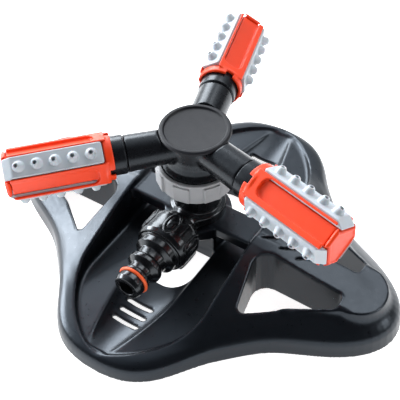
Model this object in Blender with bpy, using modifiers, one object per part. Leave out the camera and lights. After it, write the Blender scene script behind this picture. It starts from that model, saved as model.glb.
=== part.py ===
"""Three-arm rotary garden sprinkler on a four-lobed base.

Frame: metres, +Z up, ground at z = 0, the spindle axis is the world Z axis.
The inlet points along -Y, the long lobes of the base along +X and -X.
Run with: blender --background --python part.py
"""
import math

import bmesh
import bpy
from mathutils import Matrix, Vector

MM = 0.001
GAP = 0.3                      # clearance between touching pieces, mm

# ---------------------------------------------------------------- driving dimensions (mm)
LOBE_MEAN = 107.4              # base outline: mean radius and its even harmonics
LOBE_HARMONICS = (7.0, 17.6, 4.1, 1.7, 1.0, -0.5)
OUTLINE_STEPS = 64
WALL = 2.6                     # moulded wall of the base
SKIRT_PROFILE = ((0.0, 1.5), (3.0, 4.0), (4.5, 9.0), (8.0, 13.5), (14.0, 18.5), (22.0, 23.5),
                 (32.0, 28.5), (48.0, 37.0))   # (distance inside the outline, height)
CROWN_LOW = 12.0               # height of the base top at the ends of the trough
CROWN_RISE = 26.0              # how much higher it is at the cross bar
CROWN_TURN = 62.0              # |y| where the height is half way
CROWN_SOFT = 9.0
LOBE_FALL = 11.0               # how far the top drops from the recess out to the long lobes
LOBE_FALL_START = 43.0
LOBE_FALL_LENGTH = 50.0

VALLEY_HALF = 43.0             # the wide recess along Y
VALLEY_FLOOR = 10.0
VALLEY_STRAIGHT = 58.0
VALLEY_TIP = 110.0
TROUGH_HALF = 18.0
TROUGH_DEPTH = 5.5
TROUGH_TIP = 106.0

BAR_HALF = 9.0                 # cross bar, half width along Y
BAR_TOP = 33.0
BAR_THICK = 7.5
BOSS_RADIUS = 21.0
SEAT_RADIUS = 15.8
SEAT_FLOOR = 23.5
CUP_RADIUS = 18.4              # socket under the boss
CUP_BOTTOM = 20.7
SCREW_RING = 10.8
PILLAR = (17.3, 8.7)           # half sizes of the hollow pillar under the bar

RIDGE_HALF = 10.5
RIDGE_END_X = 109.0
RIDGE_END_RADIUS = 19.5
RIDGE_END_TOPS = {1: 25.5, -1: 19.5}   # right lobe, left lobe
RIDGE_START_TOP = 34.3
RIDGE_FOOT = 6.0               # inside the moulding, the cavity cuts it away
RIDGE_SLANT = 4.0              # how far its sides lean in from the foot to the top
RIDGE_SIDE_LEAN = 1.2          # the same along its straight sides
RIDGE_NECK_X = 92.5            # where its straight sides meet the round end

OPENING_HALF = 16.5
OPENING_NEAR = 8.0
OPENING_FAR = 45.0
DRAIN_SLOTS_Y = (65.0, 72.5, 80.0)
DRAIN_SLOT = (9.37, 1.52)      # half sizes
RIDGE_SLOTS_X = (48.3, 60.4, 71.6)
RIDGE_SLOT = (0.9, 3.63)       # half sizes

ARM_Z = 88.8                   # height of the arm axes
ARM_AZIMUTHS = (346.5, 106.5, 226.5)
ARM_ROOT_RADIUS = 9.9
ARM_END_RADIUS = 10.8
ARM_END = 40.8
SPIGOT_RADIUS = 7.6
SNAP_RADIUS = 8.7
WATERWAY = 5.2
COLLAR_RADIUS = 11.5
HEAD_ROLLS = (26.0, 29.5, 33.0)  # spray head angle about its arm, degrees

HEAD_START = 48.5              # distances from the spindle axis
HEAD_FLANGE_END = 53.0
HEAD_BODY_END = 106.5
HEAD_END = 110.0
FLANGE_RADIUS = 13.6
WATER_ROOM = 9.1
STRIP_FACE = 14.6
STRIP_HALF = 6.1
CHANNEL_HALF = 6.4
CHANNEL_FLOOR = 10.2
POCKET_HALF = 5.5
POCKET_FLOOR = 10.9
NOZZLE_PITCH = 10.0
NOZZLE_FIRST = 60.5
NOZZLES = 5

INLET_Z = 33.0
PIPE_RADIUS = 10.0
PIPE_END = 26.0
NUT_START = 20.0
NUT_END = 42.0
ADAPTER_END = 75.5

DISC_RADIUS = 21.1
DISC_TOP = 99.0
RING_RADIUS = 24.6
RING_BOTTOM = 60.4
RING_TOP = 74.2
RING_PANELS = 8
GRIP_PADS = 6
O_RING_MIDDLE = (8.7, 68.0)    # radius and distance from the spindle axis
O_RING_SECTION = 1.1
CAP_SHRINK = 0.93              # outer face of an end cap against its section

MANY_CUTS = ("base_shell", "cavity_cut")

# ---------------------------------------------------------------- scene helpers
def clear_scene():
    for obj in list(bpy.data.objects):
        bpy.data.objects.remove(obj, do_unlink=True)


def make_collection(name):
    found = bpy.data.collections.get(name)
    if found is None:
        found = bpy.data.collections.new(name)
        bpy.context.scene.collection.children.link(found)
    return found


def make_material(name, color, roughness, metallic=0.0):
    material = bpy.data.materials.new(name)
    material.use_nodes = True
    shader = material.node_tree.nodes["Principled BSDF"]
    shader.inputs["Base Color"].default_value = (*color, 1.0)
    shader.inputs["Roughness"].default_value = roughness
    shader.inputs["Metallic"].default_value = metallic
    return material


def mesh_object(name, bm, material=None):
    """Turn a bmesh built in millimetres into an object of the parts or the cutters."""
    bmesh.ops.scale(bm, vec=Vector((MM, MM, MM)), verts=bm.verts)
    bmesh.ops.recalc_face_normals(bm, faces=bm.faces)
    mesh = bpy.data.meshes.new(name)
    bm.to_mesh(mesh)
    bm.free()
    obj = bpy.data.objects.new(name, mesh)
    if material is None:
        CUTTERS.objects.link(obj)
        obj.hide_render = True
        obj.display_type = "WIRE"
    else:
        PARTS.objects.link(obj)
        mesh.materials.append(material)
    return obj


def boolean(obj, tool, operation="DIFFERENCE"):
    modifier = obj.modifiers.new(operation.title(), "BOOLEAN")
    modifier.operation = operation
    modifier.object = tool
    if obj.name in MANY_CUTS:
        modifier.solver = "MANIFOLD"   # EXACT leaves open edges after this many cuts
    return obj


def place(obj, parent=None, location=(0.0, 0.0, 0.0), rotation=(0.0, 0.0, 0.0)):
    """Location in millimetres, rotation in degrees, under an optional parent."""
    obj.parent = parent
    obj.location = Vector(location) * MM
    obj.rotation_euler = tuple(math.radians(angle) for angle in rotation)
    return obj


# ---------------------------------------------------------------- solids
def box(name, low, high):
    bm = bmesh.new()
    bmesh.ops.create_cube(bm, size=1.0)
    size = Vector(high) - Vector(low)
    middle = (Vector(high) + Vector(low)) / 2
    bmesh.ops.scale(bm, vec=size, verts=bm.verts)
    bmesh.ops.translate(bm, vec=middle, verts=bm.verts)
    return mesh_object(name, bm)


def cylinder(name, radius, start, end, axis="Z", sides=32, center=(0.0, 0.0)):
    """A cylinder from start to end along an axis; center is its place in the other two axes."""
    bm = bmesh.new()
    bmesh.ops.create_cone(bm, cap_ends=True, segments=sides, radius1=radius, radius2=radius,
                          depth=end - start)
    middle = (start + end) / 2
    turn = {"Z": Matrix.Identity(3),
            "Y": Matrix.Rotation(math.radians(90), 3, "X"),
            "X": Matrix.Rotation(math.radians(90), 3, "Y")}[axis]
    bmesh.ops.rotate(bm, matrix=turn, verts=bm.verts)
    offset = {"Z": (center[0], center[1], middle),
              "Y": (center[0], middle, center[1]),
              "X": (middle, center[0], center[1])}[axis]
    bmesh.ops.translate(bm, vec=Vector(offset), verts=bm.verts)
    return mesh_object(name, bm)


def loft(name, rings, material=None):
    """A closed body through rings that all have the same number of points."""
    bm = bmesh.new()
    rows = [[bm.verts.new(point) for point in ring] for ring in rings]
    count = len(rows[0])
    for lower, upper in zip(rows, rows[1:]):
        for i in range(count):
            j = (i + 1) % count
            bm.faces.new((lower[i], lower[j], upper[j], upper[i]))
    bm.faces.new(rows[0])
    bm.faces.new(rows[-1])
    return mesh_object(name, bm, material)


def turned(name, profile, axis="Z", sides=36, material=None):
    """A turned solid; the profile is (radius, height) pairs, a closed loop or ending on the axis."""
    bm = bmesh.new()
    points = [Vector(point) for point in profile]
    if sum(points[i - 1].cross(point) for i, point in enumerate(points)) > 0:
        points.reverse()       # a Screw needs its profile to run down the outer side
    verts = [bm.verts.new((point.x, 0.0, point.y)) for point in points]
    for first, second in zip(verts, verts[1:]):
        bm.edges.new((first, second))
    if profile[0][0] > 0.0 or profile[-1][0] > 0.0:
        bm.edges.new((verts[-1], verts[0]))
    obj = mesh_object(name, bm, material)
    screw = obj.modifiers.new("Turn", "SCREW")
    screw.axis = "Z"
    screw.steps = sides
    screw.render_steps = sides
    screw.use_merge_vertices = True
    screw.merge_threshold = 0.00001
    screw.use_smooth_shade = False
    if axis == "X":
        obj.rotation_euler = (0.0, math.radians(90), 0.0)
    if axis == "-Y":
        obj.rotation_euler = (math.radians(90), 0.0, 0.0)
    return obj


def rounded_outline(corners, arc_steps=5):
    """A closed outline from (x, y, corner radius) entries, each corner turned into an arc."""
    outline = []
    count = len(corners)
    for i, (x, y, radius) in enumerate(corners):
        here = Vector((x, y))
        before = (Vector(corners[i - 1][:2]) - here).normalized()
        after = (Vector(corners[(i + 1) % count][:2]) - here).normalized()
        half = before.angle(after) / 2
        reach = radius / math.tan(half)
        middle = here + (before + after).normalized() * (radius / math.sin(half))
        first = here + before * reach - middle
        last = here + after * reach - middle
        for k in range(arc_steps + 1):
            arm = first.lerp(last, k / arc_steps).normalized() * radius
            outline.append(middle + arm)
    return outline


def prism(name, outline, low, high, material=None, grow=0.0):
    """An upright prism of an outline; grow pushes its sides out along their normals."""
    points = [Vector(point) for point in outline]
    count = len(points)
    area = sum(points[i - 1].cross(points[i]) for i in range(count))
    side = 1.0 if area > 0 else -1.0
    moved = []
    for i, point in enumerate(points):
        along = points[(i + 1) % count] - points[i - 1]
        normal = Vector((along.y, -along.x)).normalized() * side
        moved.append(point + normal * grow)
    rings = [[(p.x, p.y, z) for p in moved] for z in (low, high)]
    return loft(name, rings, material)


# ---------------------------------------------------------------- base
def outline_radius(angle):
    waves = (wave * math.cos(2 * (k + 1) * angle) for k, wave in enumerate(LOBE_HARMONICS))
    return LOBE_MEAN + sum(waves)


def base_outline(inset=0.0):
    """The ground outline, moved in along its normals by inset."""
    points = []
    for i in range(OUTLINE_STEPS):
        angle = 2 * math.pi * i / OUTLINE_STEPS
        radius = outline_radius(angle)
        slope = (outline_radius(angle + 0.001) - outline_radius(angle - 0.001)) / 0.002
        outward = Vector((math.cos(angle), math.sin(angle)))
        tangent = Vector((-math.sin(angle), math.cos(angle)))
        normal = (outward * radius - tangent * slope).normalized()
        points.append(outward * radius - normal * inset)
    return points


def interpolate(table, x):
    for (x0, y0), (x1, y1) in zip(table, table[1:]):
        if x <= x1:
            share = (x - x0) / (x1 - x0)
            return y0 + (y1 - y0) * max(0.0, share)
    return table[-1][1]


def crown(x, y):
    """Height of the top away from the skirt: high at the cross bar, low at the lobe ends."""
    share = min(1.0, max(0.0, (abs(x) - LOBE_FALL_START) / LOBE_FALL_LENGTH))
    fall = LOBE_FALL * share * share * (3 - 2 * share)
    rise = 1 / (1 + math.exp((abs(y) - CROWN_TURN) / CROWN_SOFT))
    return CROWN_LOW + (CROWN_RISE - fall) * rise


def soft_min(a, b, softness=2.5):
    return -softness * math.log(math.exp(-a / softness) + math.exp(-b / softness))


def top_height(point, edge):
    """Height of the base's outer surface; edge is the ground outline."""
    distance = min((point - rim).length for rim in edge)
    return soft_min(interpolate(SKIRT_PROFILE, distance), crown(point.x, point.y))


def shell_body(name, skirt, drop, start):
    """The lobed body: skirt loops as (inset, height), then a crowned top lowered by drop."""
    edge = base_outline()
    rings = [[(p.x, p.y, start) for p in base_outline(skirt[0][0])]]
    for inset, height in skirt:
        loop = base_outline(inset)
        rings.append([(p.x, p.y, height) for p in loop])
    for share in (0.92, 0.78, 0.6, 0.35):
        ring = [p * share for p in loop]
        rings.append([(p.x, p.y, top_height(p, edge) - drop) for p in ring])
    return loft(name, rings)


def valley_outline(half, tip):
    """Plan of the recess along Y: straight sides that close to a rounded tip at each end."""
    points = []
    steps = 6
    for i in range(steps + 1):
        share = i / steps
        y = VALLEY_STRAIGHT + (tip - VALLEY_STRAIGHT) * math.sin(share * math.pi / 2)
        t = (y - VALLEY_STRAIGHT) / (tip - VALLEY_STRAIGHT)
        points.append(Vector((half * max(0.0, 1 - t ** 1.8) ** 0.75, y)))
    mirrored = [Vector((-p.x, p.y)) for p in reversed(points[:-1])]
    back = points + mirrored
    front = [Vector((-p.x, -p.y)) for p in back]
    return back + front


def valley_cutter(name, grow):
    floor = VALLEY_FLOOR - grow
    rings = []
    for z, widen in ((floor, -0.6), (VALLEY_FLOOR + 3, 0.0), (BAR_TOP + 20, 0.6)):
        outline = valley_outline(VALLEY_HALF + widen + grow, VALLEY_TIP + grow)
        rings.append([(p.x, p.y, z) for p in outline])
    return loft(name, rings)


def trough_cutter(name, grow):
    rings = []
    sides = 14
    stations = (-TROUGH_TIP, -98.0, -84.0, -64.0, 64.0, 84.0, 98.0, TROUGH_TIP)
    for y in stations:
        taper = max(0.0, (abs(y) - 56.0) / (TROUGH_TIP - 56.0))
        half = TROUGH_HALF * (1 - 0.62 * taper ** 1.4) + grow
        depth = TROUGH_DEPTH * (1 - 0.85 * taper ** 3) + grow
        ring = []
        for i in range(sides):
            angle = 2 * math.pi * i / sides
            ring.append((half * math.cos(angle), y, VALLEY_FLOOR + depth * math.sin(angle)))
        rings.append(ring)
    return loft(name, rings)


def window_outline(side_x, side_y):
    corners = [(49.0, -9.0, 10.0), (106.0, -9.5, 3.0), (106.5, -19.0, 4.0), (80.0, -32.0, 25.0),
               (57.5, -49.0, 3.0)]
    corners = [(x * side_x, y * side_y, radius) for x, y, radius in corners]
    return rounded_outline(corners, arc_steps=4)


def opening_outline(side_y):
    corners = [(-OPENING_HALF, OPENING_NEAR, 1.0), (-OPENING_HALF, OPENING_FAR, 14.0),
               (OPENING_HALF, OPENING_FAR, 14.0), (OPENING_HALF, OPENING_NEAR, 1.0)]
    return rounded_outline([(x, y * side_y, radius) for x, y, radius in corners], arc_steps=5)


def ridge_solid(name, side):
    """The raised plateau from the cross bar to the end of a long lobe."""
    start = VALLEY_HALF + 2
    foot_radius = RIDGE_END_RADIUS + RIDGE_SLANT / 2
    foot = [(0.0, -RIDGE_HALF), (RIDGE_NECK_X, -RIDGE_HALF)]
    for i in range(13):
        angle = math.radians(-122 + 244 * i / 12)
        foot.append((RIDGE_END_X + foot_radius * math.cos(angle), foot_radius * math.sin(angle)))
    foot += [(RIDGE_NECK_X, RIDGE_HALF), (0.0, RIDGE_HALF)]
    top = []
    for x, y in foot:
        share = max(0.0, (x - start) / (RIDGE_END_X + RIDGE_END_RADIUS - start))
        lean = RIDGE_SLANT if abs(y) > RIDGE_HALF or x > RIDGE_NECK_X else RIDGE_SIDE_LEAN
        inward = (Vector((min(x, RIDGE_END_X), 0.0)) - Vector((x, y))).normalized() * lean
        z = RIDGE_START_TOP - (RIDGE_START_TOP - RIDGE_END_TOPS[side]) * share
        top.append(((x + inward.x) * side, y + inward.y, z))
    return loft(name, [[(x * side, y, RIDGE_FOOT) for x, y in foot], top])


def build_base():
    """One moulding: lobed shell, recess and trough, cross bar with its pillar, ribs and windows."""
    base = shell_body("base_shell", ((0.0, 1.5), (3.0, 4.0), (4.5, 9.0), (8.0, 13.0)), 0.0, 0.0)
    CUTTERS.objects.unlink(base)
    PARTS.objects.link(base)
    base.hide_render = False
    base.display_type = "TEXTURED"
    base.data.materials.append(MATERIALS["base"])
    for side in (1, -1):
        boolean(base, ridge_solid("ridge_add", side), "UNION")
    boolean(base, valley_cutter("valley_cut", 0.0))
    boolean(base, trough_cutter("trough_cut", 0.0))

    cavity = shell_body("cavity_cut", ((2.4, 1.6), (5.4, 3.0), (7.1, 8.0), (10.4, 11.5)), WALL, -5.0)
    boolean(cavity, valley_cutter("valley_wall", WALL))
    boolean(cavity, trough_cutter("trough_wall", WALL))
    for side_y in (1, -1):
        outline = opening_outline(side_y)
        boolean(cavity, prism("opening_wall", outline, -10.0, 40.0, grow=WALL))
        for side_x in (1, -1):
            outline = window_outline(side_x, side_y)
            boolean(cavity, prism("window_wall", outline, -10.0, 60.0, grow=WALL))
    boolean(base, cavity)

    half_x, half_y = PILLAR
    boolean(base, box("bar_add", (-VALLEY_HALF - 1, -BAR_HALF, BAR_TOP - BAR_THICK),
                      (VALLEY_HALF + 1, BAR_HALF, BAR_TOP)), "UNION")
    boolean(base, cylinder("boss_add", BOSS_RADIUS, BAR_TOP - BAR_THICK - 0.5, BAR_TOP - 0.4,
                           sides=36), "UNION")
    boolean(base, cylinder("cup_add", CUP_RADIUS, CUP_BOTTOM, BAR_TOP - 3, sides=32), "UNION")
    boolean(base, box("pillar_add", (-half_x, -half_y, 0.0), (half_x, half_y, CUP_BOTTOM + 1.4)), "UNION")
    boolean(base, box("pillar_hollow", (-half_x + WALL, -half_y + WALL, -5.0),
                      (half_x - WALL, half_y - WALL, CUP_BOTTOM + 0.2)))
    for side_y in (1, -1):
        boolean(base, prism("opening_cut", opening_outline(side_y), -10.0, 16.0))
        for y in DRAIN_SLOTS_Y:
            low = (-DRAIN_SLOT[0], side_y * y - DRAIN_SLOT[1], -10.0)
            high = (DRAIN_SLOT[0], side_y * y + DRAIN_SLOT[1], 15.0)
            boolean(base, box("drain_cut", low, high))
        for side_x in (1, -1):
            boolean(base, prism("window_cut", window_outline(side_x, side_y), -10.0, 60.0))
    boolean(base, cylinder("seat_cut", SEAT_RADIUS, SEAT_FLOOR, 60.0, sides=36))
    boolean(base, cylinder("pipe_notch", PIPE_RADIUS + GAP, -30.0, -12.7, axis="Y",
                           center=(0.0, INLET_Z)))
    for x, y in screw_places():
        boolean(base, cylinder("screw_hole", 1.9, 18.0, 30.0, sides=12, center=(x, y)))
    for side in (1, -1):
        for x in RIDGE_SLOTS_X:
            low = (side * x - RIDGE_SLOT[0], -RIDGE_SLOT[1], 20.0)
            high = (side * x + RIDGE_SLOT[0], RIDGE_SLOT[1], 40.0)
            boolean(base, box("ridge_slot", low, high))


def screw_places():
    return [(SCREW_RING, 0.0), (-SCREW_RING, 0.0)]


# ---------------------------------------------------------------- riser and inlet
def build_riser():
    """Riser with its side pipe, standing in the cross bar's seat."""
    riser = turned("riser_body", [
        (0.0, 82.6), (9.5, 82.6), (9.5, 72.6), (11.0, 72.6), (11.0, 65.6), (22.2, 65.6), (22.2, 60.8),
        (14.5, 56.6), (14.5, 40.0), (17.4, 39.0), (17.4, BAR_TOP + GAP), (15.4, BAR_TOP + GAP),
        (15.4, SEAT_FLOOR + GAP), (0.0, SEAT_FLOOR + GAP)], sides=28, material=MATERIALS["black"])
    pipe = turned("pipe_add", [
        (0.0, 13.0), (PIPE_RADIUS, 13.0), (PIPE_RADIUS, 23.3), (13.5, 23.6), (13.5, PIPE_END),
        (0.0, PIPE_END)],
        axis="-Y", sides=22)
    pipe.location = Vector((0.0, 0.0, INLET_Z)) * MM
    boolean(riser, pipe, "UNION")
    boolean(riser, cylinder("pipe_bore", 6.4, -40.0, 0.0, axis="Y", sides=16, center=(0.0, INLET_Z)))
    boolean(riser, cylinder("riser_bore", 7.4, INLET_Z - 1.6, 90.0, sides=20))
    for x, y in screw_places():
        boolean(riser, cylinder("pilot_hole", 1.7, 20.0, 35.0, sides=10, center=(x, y)))


def build_screws():
    """Pan-head screws up through the cross bar into the riser."""
    for tag, (x, y) in enumerate(screw_places(), start=1):
        screw = turned(f"riser_screw_{tag}", [
            (0.0, 18.2), (2.4, 18.2), (3.0, 19.0), (3.0, 20.6), (1.35, 20.6), (1.35, 34.0), (0.0, 34.0)],
            sides=14, material=MATERIALS["steel"])
        screw.location = Vector((x, y, 0.0)) * MM


def build_spindle_pieces():
    turned("thrust_washer", [(12.8, 66.9), (21.4, 66.9), (21.4, 65.9), (12.8, 65.9)],
           sides=24, material=MATERIALS["natural"])
    turned("spindle_bush", [(11.3, 72.2), (12.5, 72.2), (12.5, 65.9), (11.3, 65.9)],
           sides=20, material=MATERIALS["natural"])
    turned("spindle_seal", [(9.8, 76.6), (12.9, 76.6), (12.9, 72.9), (9.8, 72.9)],
           sides=20, material=MATERIALS["rubber"])


def build_lock_ring():
    """Fluted ring that holds the rotor flange down on the riser head."""
    ring = turned("lock_ring", [
        (21.1, RING_TOP), (23.4, RING_TOP), (24.0, RING_TOP - 0.8), (24.0, RING_BOTTOM),
        (22.6, RING_BOTTOM), (22.6, 71.7), (21.1, 71.7)], sides=32, material=MATERIALS["ring"])
    for k in range(RING_PANELS):
        pad = box("ring_panel", (-4.9, 22.9, RING_BOTTOM + 0.6), (4.9, RING_RADIUS, RING_TOP - 1.6))
        place(pad, rotation=(0.0, 0.0, 360.0 * k / RING_PANELS + 11.0))
        boolean(ring, pad, "UNION")


def build_union_nut():
    nut = turned("union_nut", [
        (10.4, NUT_START), (13.5, NUT_START), (16.4, NUT_START + 4.2), (17.2, NUT_START + 5.0),
        (17.2, NUT_END - 2.5), (16.4, NUT_END), (15.3, NUT_END), (15.3, 23.2), (10.4, 23.2)],
        axis="-Y", sides=26, material=MATERIALS["black"])
    nut.location = Vector((0.0, 0.0, INLET_Z)) * MM
    for k in range(GRIP_PADS):
        pad = turned("grip_pad", [(0.0, 1.3), (3.2, 1.0), (4.0, 0.0), (4.0, -0.9), (0.0, -0.9)], sides=10)
        pad.scale = (0.78, 1.5, 1.0)
        angle = 360.0 * k / GRIP_PADS + 12.0
        rad = math.radians(angle)
        place(pad, location=(17.0 * math.sin(rad), -31.5, INLET_Z + 17.0 * math.cos(rad)),
              rotation=(0.0, angle, 0.0))
        boolean(nut, pad, "UNION")


def build_inlet_inner():
    washer = turned("inlet_washer", [(6.6, 26.3), (13.4, 26.3), (13.4, 28.3), (6.6, 28.3)],
                    axis="-Y", sides=18, material=MATERIALS["rubber"])
    washer.location = Vector((0.0, 0.0, INLET_Z)) * MM
    screen = turned("filter_screen", [(0.0, 22.6), (4.9, 23.6), (5.6, 28.6), (13.2, 28.6), (13.2, 29.3),
                                      (5.0, 29.3), (4.3, 24.4), (0.0, 23.4)],
                    axis="-Y", sides=16, material=MATERIALS["steel"])
    screen.location = Vector((0.0, 0.0, INLET_Z)) * MM


def build_adapter():
    """Male quick connector: threaded root in the nut, hex collar, locking groove and nose."""
    adapter = turned("hose_adapter", [
        (5.0, 29.6), (15.0, 29.6), (15.0, NUT_END + 0.5), (13.6, NUT_END + 1.0), (13.6, 47.5), (10.0, 49.0),
        (10.0, 54.0), (11.2, 55.5), (11.2, 58.0), (8.3, 60.5), (8.3, 64.0), (8.9, 65.0), (8.9, 66.6),
        (7.3, 66.6), (7.3, 69.4), (8.9, 69.4), (8.9, 72.5), (7.6, ADAPTER_END), (5.0, ADAPTER_END)],
        axis="-Y", sides=22, material=MATERIALS["black"])
    adapter.location = Vector((0.0, 0.0, INLET_Z)) * MM
    radius, middle = O_RING_MIDDLE
    section = []
    for i in range(8):
        angle = 2 * math.pi * i / 8
        section.append((radius + O_RING_SECTION * math.cos(angle),
                        middle + O_RING_SECTION * math.sin(angle)))
    o_ring = turned("adapter_o_ring", section, axis="-Y", sides=22, material=MATERIALS["orange_seal"])
    o_ring.location = Vector((0.0, 0.0, INLET_Z)) * MM


# ---------------------------------------------------------------- rotor
def build_rotor():
    rotor = turned("rotor_hub", [
        (0.0, 96.3), (16.8, 96.3), (17.0, 82.6), (18.2, 77.6), (20.6, 74.8), (20.6, 71.4), (22.2, 71.4),
        (22.2, 67.2), (0.0, 67.2)], sides=30, material=MATERIALS["black"])
    for azimuth in ARM_AZIMUTHS:
        arm = turned("arm_add", [
            (0.0, 62.2), (SNAP_RADIUS, 62.2), (SNAP_RADIUS, 60.3), (SPIGOT_RADIUS, 60.3),
            (SPIGOT_RADIUS, 57.8), (6.3, 57.8), (6.3, 55.4), (SPIGOT_RADIUS, 55.4), (SPIGOT_RADIUS, ARM_END),
            (ARM_END_RADIUS, ARM_END), (ARM_ROOT_RADIUS, 2.0), (0.0, 2.0)], axis="X", sides=20)
        spin_arm(arm, azimuth)
        boolean(rotor, arm, "UNION")
    boolean(rotor, cylinder("cap_room", DISC_RADIUS + 0.5, 96.3, 110.0, sides=28))
    boolean(rotor, cylinder("chamber_cut", 13.5, 79.1, 98.0, sides=20))
    boolean(rotor, cylinder("spigot_room", 11.2, 76.8, 80.6, sides=20))
    boolean(rotor, cylinder("bush_room", 13.3, 60.0, 76.9, sides=20))
    for azimuth in ARM_AZIMUTHS:
        bore = turned("arm_bore", [(0.0, 70.0), (WATERWAY, 70.0), (WATERWAY, 6.0), (0.0, 6.0)],
                      axis="X", sides=14)
        spin_arm(bore, azimuth)
        boolean(rotor, bore)


def spin_arm(obj, azimuth):
    """Lay a piece turned about local Z along the arm at this azimuth."""
    turn = Matrix.Rotation(math.radians(azimuth), 4, "Z") @ Matrix.Rotation(math.radians(90), 4, "Y")
    obj.matrix_world = Matrix.Translation(Vector((0.0, 0.0, ARM_Z * MM))) @ turn


def build_hub_cap():
    turned("hub_cap", [
        (0.0, DISC_TOP - 0.9), (18.6, DISC_TOP - 0.9), (18.9, DISC_TOP), (20.6, DISC_TOP),
        (DISC_RADIUS, DISC_TOP - 0.5), (DISC_RADIUS, 97.0), (20.7, 96.6), (13.2, 96.6), (13.2, 94.8),
        (11.2, 94.8), (11.2, 96.8), (0.0, 96.8)], sides=32, material=MATERIALS["black"])


# ---------------------------------------------------------------- spray heads
def make_frame(name, parent=None, location=(0.0, 0.0, 0.0), rotation=(0.0, 0.0, 0.0)):
    empty = bpy.data.objects.new(name, None)
    PARTS.objects.link(empty)
    return place(empty, parent, location, rotation)


def head_section():
    """Section of a spray head across its arm: three strip channels between three wide panels."""
    lip = [(-7.1, 13.6), (-CHANNEL_HALF, 13.2), (-CHANNEL_HALF, CHANNEL_FLOOR),
           (CHANNEL_HALF, CHANNEL_FLOOR), (CHANNEL_HALF, 13.2), (7.1, 13.6)]
    section = []
    for k in range(3):
        turn = Matrix.Rotation(math.radians(-120 * k), 2)
        section += [turn @ Vector(point) for point in lip]
    return section


def build_head_body(tag, frame):
    rings = [[(x, p.x, p.y) for p in head_section()] for x in (HEAD_FLANGE_END, HEAD_BODY_END)]
    body = place(loft(f"head_body_{tag}", rings, MATERIALS["orange"]), frame)
    flange = cylinder("flange_add", FLANGE_RADIUS, HEAD_START, HEAD_FLANGE_END + 0.5, axis="X", sides=30)
    boolean(body, place(flange, frame), "UNION")
    for k in range(3):
        pocket_corners = [(57.0, -POCKET_HALF, 3.5), (57.0, POCKET_HALF, 3.5), (130.0, POCKET_HALF, 1.0),
                          (130.0, -POCKET_HALF, 1.0)]
        pocket = prism("pocket_cut", rounded_outline(pocket_corners, 3), POCKET_FLOOR, 30.0)
        boolean(body, place(pocket, frame, rotation=(120.0 * k + 60.0, 0.0, 0.0)))
        notch = box("notch_cut", (40.0, -2.4, 10.0), (51.2, 2.4, 30.0))
        boolean(body, place(notch, frame, rotation=(120.0 * k + 60.0, 0.0, 0.0)))
        feed = box("feed_slot", (62.0, -1.2, 5.0), (101.0, 1.2, 30.0))
        boolean(body, place(feed, frame, rotation=(120.0 * k, 0.0, 0.0)))
    for name, radius, start, end in (("collar_room", COLLAR_RADIUS + GAP, 40.0, 52.6),
                                     ("spigot_way", SPIGOT_RADIUS + GAP, 50.0, 61.0),
                                     ("water_room", WATER_ROOM, 60.0, 120.0)):
        tool = cylinder(name, radius, start, end, axis="X", sides=22)
        boolean(body, place(tool, frame))


def build_end_cap(tag, frame):
    start = HEAD_BODY_END + GAP
    full = head_section()
    small = [p * CAP_SHRINK for p in full]
    rings = [[(x, p.x, p.y) for p in section]
             for x, section in ((start, full), (HEAD_END - 1.2, full), (HEAD_END, small))]
    cap = place(loft(f"end_cap_{tag}", rings, MATERIALS["orange"]), frame)
    plug = cylinder("plug_add", WATER_ROOM - GAP, 102.0, start + 1, axis="X", sides=18)
    boolean(cap, place(plug, frame), "UNION")
    hollow = cylinder("plug_hollow", WATER_ROOM - 2.0, 100.0, start + 0.8, axis="X", sides=14)
    boolean(cap, place(hollow, frame))


def build_strip(tag, frame, letter, roll):
    """One nozzle strip: a bar in its channel with a chamfered outer end and five nozzle nubs."""
    low = CHANNEL_FLOOR + GAP
    start = HEAD_FLANGE_END + 3 * GAP
    corners = [(start, -STRIP_HALF, 2.6), (start, STRIP_HALF, 2.6),
               (HEAD_END - GAP, STRIP_HALF, 0.6), (HEAD_END - GAP, -STRIP_HALF, 0.6)]
    strip = prism(f"nozzle_strip_{tag}_{letter}", rounded_outline(corners, 3), low, STRIP_FACE,
                  MATERIALS["strip"])
    chamfer = box("strip_chamfer", (-20.0, -12.0, 0.0), (20.0, 12.0, 20.0))
    spot = make_frame(f"strip_frame_{tag}_{letter}", frame, rotation=(roll, 0.0, 0.0))
    place(strip, spot)
    place(chamfer, spot, location=(107.7, 0.0, 13.0), rotation=(0.0, 45.0, 0.0))
    boolean(strip, chamfer)
    for k in range(NOZZLES):
        nub = turned("nub_add", [(0.8, 2.4), (0.8, 3.9), (2.0, 3.6), (2.8, 0.0), (2.8, -1.2), (0.0, -1.2),
                                 (0.0, 2.4)], sides=8)
        place(nub, spot, location=(NOZZLE_FIRST + NOZZLE_PITCH * k, 0.0, STRIP_FACE),
              rotation=(0.0, 5.0 * k, 0.0))
        boolean(strip, nub, "UNION")


def build_collar(tag, frame):
    collar = turned(f"arm_collar_{tag}", [
        (SPIGOT_RADIUS + GAP, ARM_END + GAP), (COLLAR_RADIUS - 0.9, ARM_END + GAP),
        (COLLAR_RADIUS, ARM_END + 1.2), (COLLAR_RADIUS, 52.3), (SPIGOT_RADIUS + GAP, 52.3)],
        axis="X", sides=22, material=MATERIALS["black"])
    collar.parent = frame


def build_head_seal(tag, frame):
    seal = turned(f"head_seal_{tag}", [(6.6, 55.7), (7.6, 55.7), (7.6, 57.5), (6.6, 57.5)],
                  axis="X", sides=18, material=MATERIALS["rubber"])
    seal.parent = frame


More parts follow.
